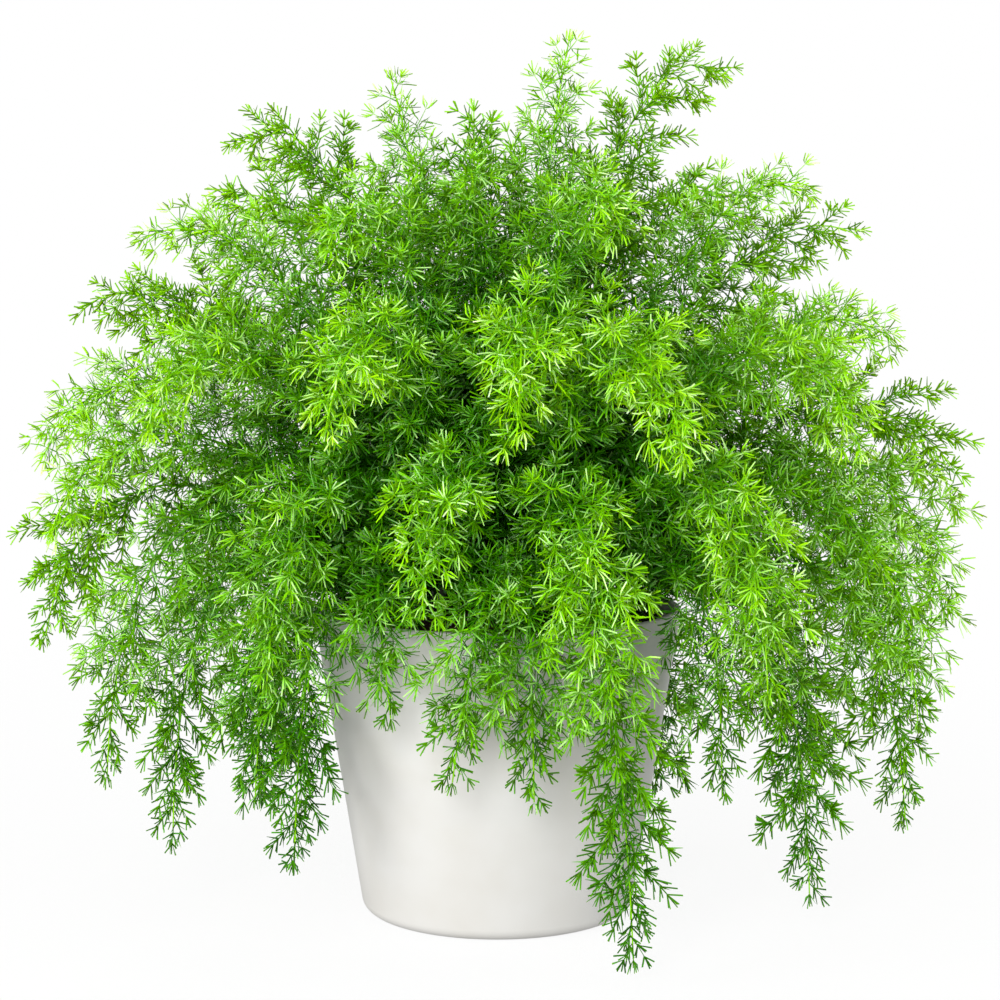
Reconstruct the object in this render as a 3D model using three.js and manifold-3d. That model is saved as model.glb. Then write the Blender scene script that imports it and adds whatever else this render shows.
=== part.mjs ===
// Foxtail fern in a plain white tapered pot.
// Millimetres, +Z up, front towards -Y. The origin is on the ground under the pot's centre.
import * as THREE from 'three';
import { mergeVertices } from 'three/addons/utils/BufferGeometryUtils.js';
import Module from 'manifold-3d';

const manifold = await Module();
manifold.setup();

// ---- Pot ------------------------------------------------------------------------------------
const POT_HEIGHT = 208;
const POT_RIM_RADIUS = 125;
const POT_FOOT_RADIUS = 91.5; // the straight side, carried down to the ground
const POT_WALL = 6;
const POT_FLOOR = 9;
const POT_FOOT_ROUND = 8;
const POT_RIM_ROUND = 2;
const POT_SIDES = 40;
const POT_ARC_STEPS = 3;
const DRAIN_COUNT = 4;
const DRAIN_RADIUS = 6;
const DRAIN_CIRCLE_RADIUS = 48;
const DRAIN_SIDES = 8;

// ---- Soil -----------------------------------------------------------------------------------
const SEAT_GAP = 0.3; // between pieces that touch
const SOIL_LEVEL = 196.5;
const SOIL_SIDES = 28;
const SOIL_RINGS = 4;
const SOIL_LUMP = 1.5;
const SOIL_LUMP_X = 11; // how far apart the lumps are, across, along and slantwise
const SOIL_LUMP_Y = 13;
const SOIL_LUMP_SLANT = 8;
const SOIL_LUMP_SLANT_SHARE = 0.6;
const STEM_HOLE_RADIUS = 2.8;
const STEM_HOLE_DEPTH = 16;
const STEM_HOLE_SIDES = 5;
const WELD = 1e-4; // corners closer together than this are one
const PARALLEL = 1e-9; // two stretches that spread less than this run side by side

// ---- Fronds ---------------------------------------------------------------------------------
const STEM_BASE = 200; // height at which every stem leaves the soil
const STEM_SUNK = 13;
const STEM_RADIUS_BASE = 1.6;
const STEM_RADIUS_TIP = 0.9;
const STEM_SWAY = 4; // degrees
const STEM_STEPS = 64; // stretches that its length is measured in
const STEM_LOOK = 6; // ahead and back, for its direction
const RISE_SHARE = 0.22; // of the way out, where the stem aims as it rises
const ARCH_SHARE = 0.66; // of the way out, where its arch is drawn towards when it ends as high
const ARCH_SHARE_MOST = 0.97;
const ARCH_DROP = 900; // the drop from the arch to the tip that adds the whole way out to the share
const GOLDEN_ANGLE = 2.39996;
const RING_SIDES = 3;
const RING_TWIST = GOLDEN_ANGLE - (2 * Math.PI) / RING_SIDES;
const BARE_SHARE = 0.14; // of the stem's length, below the first side branch
const NODE_SPACING = 39;
const WHORL_WIDTH = 1.6;
const TIP_WHORL = 12; // from the tip back to the last whorl

const NEEDLE_LENGTH = 12;
const NEEDLE_RADIUS = 0.8;
const NEEDLE_LEAN = 52; // degrees from the stem it grows on

const BRANCH_LENGTH = 76;
const BRANCH_LENGTH_TIP = 19; // at the tip, from where they lengthen by the slope down to the full
const BRANCH_SLOPE = 0.42;
const BRANCH_YOUNG_SHARE = 0.55; // of its length, for a branch at the soil
const BRANCH_GROWN_FROM = 0.4; // of the stem's length, from where branches have their whole length
const BRANCH_RADIUS = 0.85;
const BRANCH_DROOP = 0.12; // of its length
const BRANCH_LEANS = [56, 42, 70]; // degrees from the stem, in the order tried
const BRANCH_SCALES = [1, 0.8, 0.62];
const BRANCH_CLEAR_FROM = 0.12; // of its lower stretch, from where it keeps clear of its own stem

const CLEARANCE = 0.5; // between limbs that don't grow on each other
const POT_CLEARANCE = 2;
const GROUND_CLEARANCE = 1.5;
const CLEARANCE_STEPS = 8; // stretches of a limb that are looked at one by one
const NEEDLE_CLEAR_FROM = 1; // up a needle, from where it keeps clear of other limbs

// One row per frond: the bearing it ends on (degrees from the front, + to the right), how far
// from the centre it leaves the soil, the height it aims for as it rises, the height its arch is
// drawn towards, how far out it ends, the height it ends at, and how far its bearing swings on
// the way out (degrees).
const FRONDS = [
  // crown: young upright shoots
  [-66, 14, 330, 500, 78, 566, 0],
  [-150, 20, 340, 490, 32, 550, 0],
  [58, 10, 350, 520, 57, 591, 0],
  [100, 22, 520, 612, 160, 560, -8],
  [172, 18, 420, 540, 100, 528, 0],
  [-10, 20, 440, 545, 84, 480, 10],
  // upper tier
  [-94, 30, 470, 570, 178, 514, 6],
  [-116, 38, 400, 525, 226, 478, 6],
  [-74, 40, 385, 500, 243, 450, -8],
  [122, 30, 410, 522, 190, 484, 0],
  [82, 36, 405, 522, 214, 486, 0],
  [104, 42, 380, 500, 262, 457, 0],
  [152, 36, 400, 520, 205, 468, 0],
  [-160, 34, 410, 520, 200, 474, 0],
  [-42, 32, 430, 535, 160, 440, 0],
  [32, 30, 440, 545, 150, 450, 0],
  // middle tier
  [-98, 52, 350, 455, 290, 408, 0],
  [-83, 58, 330, 428, 304, 308, 0],
  [82, 56, 350, 450, 270, 380, 0],
  [95, 60, 320, 420, 318, 268, 0],
  [-56, 50, 370, 450, 262, 330, 0],
  [-27, 50, 380, 460, 225, 335, 0],
  [3, 50, 385, 465, 215, 330, 0],
  [28, 52, 380, 460, 240, 318, 0],
  [56, 52, 370, 450, 270, 318, 0],
  [118, 52, 360, 445, 290, 350, 0],
  [146, 52, 350, 440, 290, 320, 0],
  [176, 50, 360, 450, 280, 370, 0],
  [-150, 52, 350, 440, 290, 310, 0],
  [-124, 52, 360, 450, 285, 360, 0],
  // lower tier
  [-91, 78, 285, 362, 310, 178, 0],
  [90, 78, 300, 385, 304, 196, 0],
  [76, 80, 290, 366, 284, 134, 0],
  [-79, 84, 280, 350, 264, 93, 0],
  [-46, 72, 305, 365, 200, 172, 0],
  [-14, 72, 310, 370, 190, 226, 0],
  [20, 72, 305, 360, 205, 166, 0],
  [42, 74, 310, 380, 245, 172, 0],
  [112, 76, 300, 380, 295, 165, 0],
  [142, 76, 300, 380, 280, 190, 0],
  [170, 76, 300, 380, 290, 150, 0],
  [-162, 76, 300, 380, 275, 180, 0],
  [-130, 76, 300, 380, 292, 150, 0],
  // skirt: the lowest fronds, over the rim and down
  [79, 100, 262, 306, 276, 66, 0],
  [67, 100, 262, 310, 221, 23, 0],
  [50, 102, 255, 300, 186, 102, 0],
  [24, 98, 265, 325, 205, 9, 6],
  [8, 104, 250, 290, 165, 101, -2],
  [-10, 102, 250, 290, 164, 113, -10],
  [-24, 104, 250, 285, 160, 150, 12],
  [-53, 102, 255, 300, 164, 47, 0],
  [-64, 104, 250, 290, 176, 85, 0],
  [-76, 102, 260, 310, 222, 52, 0],
  [108, 102, 258, 310, 240, 60, 0],
  [146, 102, 258, 300, 215, 38, 0],
  [-172, 102, 258, 300, 225, 70, 0],
  [-128, 102, 258, 300, 225, 42, 0],
  // a stray between the left tiers
  [-72, 66, 312, 392, 302, 262, 0],
];

const MATERIALS = {
  pot: new THREE.MeshStandardMaterial({ name: 'white_glaze', color: 0xe9e8e4, roughness: 0.45 }),
  soil: new THREE.MeshStandardMaterial({ name: 'potting_mix', color: 0x3b2a1d, roughness: 0.95 }),
  frond: new THREE.MeshStandardMaterial({ name: 'foliage', color: 0x6f9c32, roughness: 0.55 }),
};

const UP = new THREE.Vector3(0, 0, 1);
const radians = THREE.MathUtils.degToRad;
const lerp = THREE.MathUtils.lerp;

// ---- Solids ---------------------------------------------------------------------------------

/** A triangle shell that is built up point by point. */
class Shell {
  constructor() {
    this.points = [];
    this.faces = [];
  }

  add(point) {
    this.points.push(point.clone());
    return this.points.length - 1;
  }

  face(a, b, c) {
    this.faces.push(a, b, c);
  }

  /** The four corners of one side between two rings, facing outwards. */
  static panel(lower, upper, side) {
    const next = (side + 1) % lower.length;
    return [lower[side], lower[next], upper[next], upper[side]];
  }

  flat(corners) {
    const [a, b, c, d] = corners;
    this.face(a, b, c);
    this.face(a, c, d);
  }

  bridge(lower, upper) {
    for (let side = 0; side < lower.length; side += 1) this.flat(Shell.panel(lower, upper, side));
  }

  /** Closes a ring to one point ahead of it. */
  point(ring, tip) {
    const apex = this.add(tip);
    for (let side = 0; side < ring.length; side += 1) {
      this.face(ring[side], ring[(side + 1) % ring.length], apex);
    }
  }

  centre(corners) {
    const sum = new THREE.Vector3();
    corners.forEach((corner) => sum.add(this.points[corner]));
    return sum.divideScalar(corners.length);
  }

  mesh(name, material) {
    const geometry = new THREE.BufferGeometry();
    const flatPoints = this.points.flatMap((point) => point.toArray());
    geometry.setAttribute('position', new THREE.Float32BufferAttribute(flatPoints, 3));
    geometry.setIndex(this.faces);
    geometry.computeVertexNormals();
    return named(geometry, name, material);
  }

  solid() {
    const vertProperties = Float32Array.from(this.points.flatMap((point) => point.toArray()));
    const triVerts = Uint32Array.from(this.faces);
    return new manifold.Manifold(new manifold.Mesh({ numProp: 3, vertProperties, triVerts }));
  }
}

function named(geometry, name, material) {
  const mesh = new THREE.Mesh(geometry, material);
  mesh.name = name;
  return mesh;
}

/** A closed geometry as a solid that can be joined and cut. */
function solidOf(geometry) {
  geometry.deleteAttribute('normal');
  geometry.deleteAttribute('uv');
  const welded = mergeVertices(geometry, WELD);
  const corners = welded.index.array;
  const triVerts = [];
  for (let first = 0; first < corners.length; first += 3) {
    const [a, b, c] = corners.slice(first, first + 3);
    if (a !== b && b !== c && c !== a) triVerts.push(a, b, c);
  }
  return new manifold.Manifold(new manifold.Mesh({
    numProp: 3,
    vertProperties: Float32Array.from(welded.attributes.position.array),
    triVerts: Uint32Array.from(triVerts),
  }));
}

/** An upright round bar, by its foot. */
function uprightBar(radius, height, sides, foot) {
  const geometry = new THREE.CylinderGeometry(radius, radius, height, sides);
  geometry.rotateX(Math.PI / 2);
  geometry.translate(foot.x, foot.y, foot.z + height / 2);
  return solidOf(geometry);
}

function meshOfSolid(solid, name, material) {
  const data = solid.getMesh();
  const geometry = new THREE.BufferGeometry();
  geometry.setAttribute('position', new THREE.BufferAttribute(data.vertProperties, data.numProp));
  geometry.setIndex(new THREE.BufferAttribute(data.triVerts, 1));
  geometry.computeVertexNormals();
  return named(geometry, name, material);
}

// ---- Pot and soil ---------------------------------------------------------------------------

function potOuterRadius(height) {
  return lerp(POT_FOOT_RADIUS, POT_RIM_RADIUS, height / POT_HEIGHT);
}

function potInnerRadius(height) {
  return potOuterRadius(height) - POT_WALL;
}

/** Points of an arc about a centre, by radius and height. */
function arc(centreRadius, centreHeight, size, from, to) {
  const points = [];
  for (let step = 0; step <= POT_ARC_STEPS; step += 1) {
    const angle = radians(lerp(from, to, step / POT_ARC_STEPS));
    const radius = centreRadius + size * Math.cos(angle);
    points.push(new THREE.Vector2(radius, centreHeight + size * Math.sin(angle)));
  }
  return points;
}

function makePot() {
  const slope = THREE.MathUtils.radToDeg(Math.atan2(POT_RIM_RADIUS - POT_FOOT_RADIUS, POT_HEIGHT));
  const footInset = POT_FOOT_ROUND * Math.tan(radians(45 + slope / 2));
  const footCentre = POT_FOOT_RADIUS - footInset + 2 * POT_FOOT_ROUND * Math.tan(radians(slope));
  const rimTop = POT_HEIGHT - POT_RIM_ROUND;
  const section = [
    new THREE.Vector2(0, 0),
    ...arc(footCentre, POT_FOOT_ROUND, POT_FOOT_ROUND, -90, -slope),
    ...arc(POT_RIM_RADIUS - POT_RIM_ROUND, rimTop, POT_RIM_ROUND, 0, 90),
    ...arc(potInnerRadius(POT_HEIGHT) + POT_RIM_ROUND, rimTop, POT_RIM_ROUND, 90, 180),
    new THREE.Vector2(potInnerRadius(POT_FLOOR), POT_FLOOR),
    new THREE.Vector2(0, POT_FLOOR),
  ];
  let pot = solidOf(new THREE.LatheGeometry(section, POT_SIDES).rotateX(Math.PI / 2));
  for (let index = 0; index < DRAIN_COUNT; index += 1) {
    const angle = ((index + 0.5) / DRAIN_COUNT) * 2 * Math.PI;
    const x = DRAIN_CIRCLE_RADIUS * Math.cos(angle);
    const y = DRAIN_CIRCLE_RADIUS * Math.sin(angle);
    const foot = new THREE.Vector3(x, y, -POT_FLOOR);
    pot = pot.subtract(uprightBar(DRAIN_RADIUS, POT_FLOOR * 3, DRAIN_SIDES, foot));
  }
  return meshOfSolid(pot, 'pot', MATERIALS.pot);
}

function soilHeight(x, y) {
  const lumps = Math.sin(x / SOIL_LUMP_X) * Math.cos(y / SOIL_LUMP_Y);
  const slant = SOIL_LUMP_SLANT_SHARE * Math.sin((x - y) / SOIL_LUMP_SLANT);
  return SOIL_LEVEL + SOIL_LUMP * (lumps + slant);
}

function makeSoil(fronds) {
  const shell = new Shell();
  const floor = POT_FLOOR + SEAT_GAP;
  const edge = potInnerRadius(SOIL_LEVEL) - SEAT_GAP - SOIL_LUMP;
  const ring = (radius, height) => {
    const corners = [];
    for (let side = 0; side < SOIL_SIDES; side += 1) {
      const angle = (side / SOIL_SIDES) * 2 * Math.PI;
      const x = radius * Math.cos(angle);
      const y = radius * Math.sin(angle);
      corners.push(shell.add(new THREE.Vector3(x, y, height(x, y))));
    }
    return corners;
  };
  const foot = ring(potInnerRadius(floor) - SEAT_GAP * 2, () => floor);
  let last = foot;
  for (let step = SOIL_RINGS; step > 0; step -= 1) {
    const next = ring((edge * step) / SOIL_RINGS, soilHeight);
    shell.bridge(last, next);
    last = next;
  }
  shell.point(last, new THREE.Vector3(0, 0, soilHeight(0, 0)));
  shell.point([...foot].reverse(), new THREE.Vector3(0, 0, floor));

  let soil = shell.solid();
  const holeBottom = STEM_BASE - STEM_HOLE_DEPTH;
  for (const frond of fronds) {
    const foot = frond.root.clone().setZ(holeBottom);
    const hole = uprightBar(STEM_HOLE_RADIUS, STEM_HOLE_DEPTH * 2, STEM_HOLE_SIDES, foot);
    soil = soil.subtract(hole);
  }
  return meshOfSolid(soil, 'soil', MATERIALS.soil);
}

// ---- Room between the limbs -----------------------------------------------------------------

/** Shortest distance between two straight stretches. */
function stretchDistance(a, b, c, d) {
  const u = b.clone().sub(a);
  const v = d.clone().sub(c);
  const w = a.clone().sub(c);
  const uu = u.dot(u);
  const uv = u.dot(v);
  const vv = v.dot(v);
  const uw = u.dot(w);
  const vw = v.dot(w);
  const spread = uu * vv - uv * uv;
  let s = spread > PARALLEL ? THREE.MathUtils.clamp((uv * vw - vv * uw) / spread, 0, 1) : 0;
  const t = THREE.MathUtils.clamp((uv * s + vw) / vv, 0, 1);
  s = THREE.MathUtils.clamp((uv * t - uw) / uu, 0, 1);
  return w.addScaledVector(u, s).addScaledVector(v, -t).length();
}

/** Keeps every limb's centre lines, so that what grows later stays clear of them. */
class Room {
  constructor() {
    this.taken = [];
  }

  take(limb, from, to, radius) {
    const middle = from.clone().lerp(to, 0.5);
    this.taken.push({ limb, from, to, radius, middle, half: from.distanceTo(to) / 2 });
  }

  /** Whether a stretch is clear of the pot, the soil, the ground and all limbs but its parent. */
  isFree(from, to, radius, parent) {
    return this.isClearOfPot(from, to, radius) && this.isClearOfLimbs(from, to, radius, parent);
  }

  isClearOfLimbs(from, to, radius, parent) {
    const middle = from.clone().lerp(to, 0.5);
    const half = from.distanceTo(to) / 2;
    return this.taken.every((other) => {
      const needed = radius + other.radius + CLEARANCE;
      if (other.limb === parent) return true;
      if (middle.distanceTo(other.middle) > half + other.half + needed) return true;
      return stretchDistance(from, to, other.from, other.to) > needed;
    });
  }

  isClearOfPot(from, to, radius) {
    for (let step = 0; step <= CLEARANCE_STEPS; step += 1) {
      const spot = from.clone().lerp(to, step / CLEARANCE_STEPS);
      const reach = Math.hypot(spot.x, spot.y);
      const gap = radius + POT_CLEARANCE;
      if (spot.z < radius + GROUND_CLEARANCE) return false;
      if (spot.z < STEM_BASE + gap && reach < potInnerRadius(spot.z) + POT_WALL / 2) return false;
      const besideWall = spot.z < POT_HEIGHT + gap && reach < potOuterRadius(spot.z) + gap;
      if (besideWall && reach > potInnerRadius(POT_HEIGHT) - gap) return false;
    }
    return true;
  }
}

// ---- Fronds ---------------------------------------------------------------------------------

/** A direction with two more across it, which rings are drawn in. */
class Frame {
  constructor(along, across) {
    this.along = along.clone().normalize();
    this.across = across.clone().addScaledVector(this.along, -across.dot(this.along)).normalize();
    this.other = this.along.clone().cross(this.across);
  }

  /** The frame that follows on along the limb with the least turn. */
  follow(along) {
    return new Frame(along, this.across);
  }

  outwards(angle) {
    return this.across.clone().multiplyScalar(Math.cos(angle))
      .addScaledVector(this.other, Math.sin(angle));
  }
}

function addRing(shell, centre, frame, radius, turn) {
  const ring = [];
  for (let corner = 0; corner < RING_SIDES; corner += 1) {
    const angle = turn + (corner / RING_SIDES) * 2 * Math.PI;
    ring.push(shell.add(centre.clone().addScaledVector(frame.outwards(angle), radius)));
  }
  return ring;
}

/** Two rings close together: each side between them can carry a needle or a branch. */
class Whorl {
  constructor(shell, centre, frame, radius, turn) {
    this.centre = centre;
    this.frame = frame;
    const half = frame.along.clone().multiplyScalar(WHORL_WIDTH / 2);
    this.lower = addRing(shell, centre.clone().sub(half), frame, radius, turn);
    this.upper = addRing(shell, centre.clone().add(half), frame, radius, turn);
  }

  panel(side) {
    return Shell.panel(this.lower, this.upper, side);
  }

  /** The direction that a side's growth takes, leaning away from the limb by some degrees. */
  direction(shell, side, lean) {
    const out = shell.centre(this.panel(side)).sub(this.centre).normalize();
    const angle = radians(lean);
    return this.frame.along.clone().multiplyScalar(Math.cos(angle))
      .addScaledVector(out, Math.sin(angle));
  }
}

/** One frond: a stem with whorls, and the branches and needles on them, in one shell. */
class Frond {
  constructor(row, index) {
    [this.bearing, this.rootReach, this.lift, this.arch, this.reach, this.tip, this.swing] = row;
    this.index = index;
    this.shell = new Shell();
    this.root = this.at(0);
  }

  /** A point of the stem's centre line, from 0 at the soil to 1 at the tip. */
  at(t) {
    const span = this.reach - this.rootReach;
    const drawn = ARCH_SHARE + (this.arch - this.tip) / ARCH_DROP;
    const hold = THREE.MathUtils.clamp(drawn, ARCH_SHARE, ARCH_SHARE_MOST);
    const curve = new THREE.CubicBezierCurve(
      new THREE.Vector2(this.rootReach, STEM_BASE),
      new THREE.Vector2(this.rootReach + RISE_SHARE * span, this.lift),
      new THREE.Vector2(this.rootReach + hold * span, this.arch),
      new THREE.Vector2(this.reach, this.tip),
    );
    const side = curve.getPoint(t);
    const sway = STEM_SWAY * Math.sin(GOLDEN_ANGLE * this.index) * Math.sin(Math.PI * t);
    const bearing = radians(this.bearing + this.swing * (t - 1) + sway);
    return new THREE.Vector3(side.x * Math.sin(bearing), -side.x * Math.cos(bearing), side.y);
  }

  /** Draws the stem with its whorls and takes its room. */
  drawStem(room) {
    const line = new StemLine(this);
    const bare = line.length * BARE_SHARE;
    const count = Math.max(2, Math.round((line.length - TIP_WHORL - bare) / NODE_SPACING));
    let frame = new Frame(UP, this.at(1).sub(this.root));
    const sunk = this.root.clone().addScaledVector(UP, -STEM_SUNK);
    const foot = addRing(this.shell, sunk, frame, STEM_RADIUS_BASE, 0);
    let last = addRing(this.shell, this.root, frame, STEM_RADIUS_BASE, 0);
    this.shell.face(foot[2], foot[1], foot[0]);
    this.shell.bridge(foot, last);
    room.take(this, sunk, this.root, STEM_RADIUS_BASE);

    let previous = this.root;
    this.whorls = [];
    for (let node = 0; node <= count; node += 1) {
      const along = lerp(bare, line.length - TIP_WHORL, node / count);
      const centre = line.point(along);
      const radius = lerp(STEM_RADIUS_BASE, STEM_RADIUS_TIP, along / line.length);
      frame = frame.follow(line.direction(along));
      const whorl = new Whorl(this.shell, centre, frame, radius, (node + 1) * RING_TWIST);
      this.shell.bridge(last, whorl.lower);
      room.take(this, previous, centre, radius);
      whorl.branchLength = branchLength(along, line.length);
      this.whorls.push(whorl);
      last = whorl.upper;
      previous = centre;
    }
    this.shell.point(last, line.point(line.length));
    room.take(this, previous, line.point(line.length), STEM_RADIUS_TIP);
  }

  /** Fills one whorl, counted back from the tip: a branch if there is room, and needles. */
  fillWhorl(back, room) {
    const node = this.whorls.length - 1 - back;
    if (node < 0) return;
    const whorl = this.whorls[node];
    const sides = [0, 1, 2].map((step) => (node + step) % RING_SIDES);
    const branched = back > 0 ? this.growBranch(whorl, sides, room) : undefined;
    for (const side of sides) {
      if (side !== branched) this.growNeedle(whorl, side, this, room);
    }
  }

  /** Raises a needle from one side of a whorl, or leaves the side flat where there is no room. */
  growNeedle(whorl, side, limb, room) {
    const corners = whorl.panel(side);
    const base = this.shell.centre(corners);
    const way = whorl.direction(this.shell, side, NEEDLE_LEAN);
    const tip = base.clone().addScaledVector(way, NEEDLE_LENGTH);
    const start = base.clone().addScaledVector(way, NEEDLE_CLEAR_FROM);
    if (!room.isFree(start, tip, NEEDLE_RADIUS, limb)) {
      this.shell.flat(corners);
      return;
    }
    this.shell.point(corners, tip);
    room.take(limb, base, tip, NEEDLE_RADIUS);
  }

  /** Grows a branch from the first side with room for it, and returns that side. */
  growBranch(whorl, sides, room) {
    for (const scale of BRANCH_SCALES) {
      for (const side of sides) {
        for (const lean of BRANCH_LEANS) {
          const corners = whorl.panel(side);
          const base = this.shell.centre([corners[0], corners[1], corners[2]]);
          const way = whorl.direction(this.shell, side, lean);
          const branch = new BranchLine(base, way, whorl.branchLength * scale);
          if (branch.isFree(room, this)) {
            this.drawBranch(branch, corners, room);
            return side;
          }
        }
      }
    }
    return undefined;
  }

  drawBranch(branch, corners, room) {
    const [a, b, c, d] = corners;
    const base = [a, b, c];
    this.shell.face(a, c, d);
    const neck = branch.length - NEEDLE_LENGTH;
    const centre = branch.point(neck);
    const across = this.shell.points[a].clone().sub(this.shell.centre(base));
    const frame = new Frame(branch.direction(neck), across);
    const whorl = new Whorl(this.shell, centre, frame, BRANCH_RADIUS, 0);
    this.shell.bridge(base, whorl.lower);
    this.shell.point(whorl.upper, branch.point(branch.length));
    branch.take(room);
    for (let side = 0; side < RING_SIDES; side += 1) this.growNeedle(whorl, side, branch, room);
  }

  mesh() {
    const number = String(this.index + 1).padStart(2, '0');
    return this.shell.mesh(`frond_${number}`, MATERIALS.frond);
  }
}

/** How long a branch is that grows some way along a stem of some length. */
function branchLength(along, stemLength) {
  const tapered = Math.min(BRANCH_LENGTH_TIP + BRANCH_SLOPE * (stemLength - along), BRANCH_LENGTH);
  const grown = Math.min(along / (BRANCH_GROWN_FROM * stemLength), 1);
  return tapered * lerp(BRANCH_YOUNG_SHARE, 1, grown);
}

/** A stem's centre line, measured along its length. */
class StemLine {
  constructor(frond) {
    this.points = [];
    this.lengths = [0];
    for (let step = 0; step <= STEM_STEPS; step += 1) {
      this.points.push(frond.at(step / STEM_STEPS));
      if (step > 0) {
        const added = this.points[step].distanceTo(this.points[step - 1]);
        this.lengths.push(this.lengths[step - 1] + added);
      }
    }
    this.length = this.lengths[STEM_STEPS];
  }

  point(along) {
    let step = this.lengths.findIndex((length) => length >= along);
    if (step < 0) step = this.lengths.length - 1;
    if (step === 0) return this.points[0].clone();
    const share = (along - this.lengths[step - 1]) / (this.lengths[step] - this.lengths[step - 1]);
    return this.points[step - 1].clone().lerp(this.points[step], Math.min(share, 1));
  }

  direction(along) {
    const ahead = this.point(Math.min(along + STEM_LOOK, this.length));
    return ahead.sub(this.point(Math.max(along - STEM_LOOK, 0))).normalize();
  }
}

/** A side branch's centre line: straight out, with a droop that grows along it. */
class BranchLine {
  constructor(base, way, length) {
    this.base = base;
    this.way = way;
    this.length = length;
  }

  point(along) {
    const drop = BRANCH_DROOP * this.length * (along / this.length) ** 2;
    return this.base.clone().addScaledVector(this.way, along).addScaledVector(UP, -drop);
  }

  direction(along) {
    return this.point(along + 1).sub(this.point(along - 1)).normalize();
  }

  stretches() {
    const joint = this.length - NEEDLE_LENGTH;
    return [[this.point(0), this.point(joint)], [this.point(joint), this.point(this.length)]];
  }

  isFree(room, stem) {
    return this.stretches().every(([from, to], index) => {
      const start = index === 0 ? from.clone().lerp(to, BRANCH_CLEAR_FROM) : from;
      return room.isFree(start, to, BRANCH_RADIUS, stem);
    });
  }

  take(room) {
    for (const [from, to] of this.stretches()) room.take(this, from, to, BRANCH_RADIUS);
  }
}

function makeFronds() {
  const room = new Room();
  const fronds = FRONDS.map((row, index) => new Frond(row, index));
  fronds.forEach((frond) => frond.drawStem(room));
  const most = Math.max(...fronds.map((frond) => frond.whorls.length));
  for (let back = 0; back < most; back += 1) {
    fronds.forEach((frond) => frond.fillWhorl(back, room));
  }
  return fronds;
}

const fern = new THREE.Group();
fern.name = 'foxtail_fern';
const fronds = makeFronds();
fern.add(makePot(), makeSoil(fronds), ...fronds.map((frond) => frond.mesh()));

export default fern;
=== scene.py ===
"""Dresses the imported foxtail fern: leafy fronds, potting mix, glazed pot and a soft studio."""
import logging
import math
from collections.abc import Iterator
from dataclasses import dataclass, field, replace
from enum import Enum

import bpy
import numpy as np
from bpy.types import Material, Node, NodeSocket, NodeTree, Object
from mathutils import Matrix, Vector


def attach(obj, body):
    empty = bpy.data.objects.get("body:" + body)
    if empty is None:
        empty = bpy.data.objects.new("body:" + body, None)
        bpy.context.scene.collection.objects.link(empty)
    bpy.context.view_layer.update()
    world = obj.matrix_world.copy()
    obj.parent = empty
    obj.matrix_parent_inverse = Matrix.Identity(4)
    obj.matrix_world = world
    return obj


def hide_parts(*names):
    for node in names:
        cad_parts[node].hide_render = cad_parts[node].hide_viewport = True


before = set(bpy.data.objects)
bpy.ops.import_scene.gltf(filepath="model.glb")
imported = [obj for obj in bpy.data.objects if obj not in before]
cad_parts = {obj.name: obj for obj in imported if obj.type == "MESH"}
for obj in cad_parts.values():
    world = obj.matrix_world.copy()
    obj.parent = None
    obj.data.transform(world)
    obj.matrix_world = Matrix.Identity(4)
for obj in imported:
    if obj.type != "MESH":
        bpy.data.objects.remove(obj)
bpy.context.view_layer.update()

MM = 0.001
GOLDEN_ANGLE = 2.39996
RANDOM_TURN = 6.28
BODY = "root"

Array = np.ndarray
Rng = np.random.Generator
Pair = tuple[float, float]
Triple = tuple[float, float, float]

log = logging.getLogger("foxtail_fern")

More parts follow.
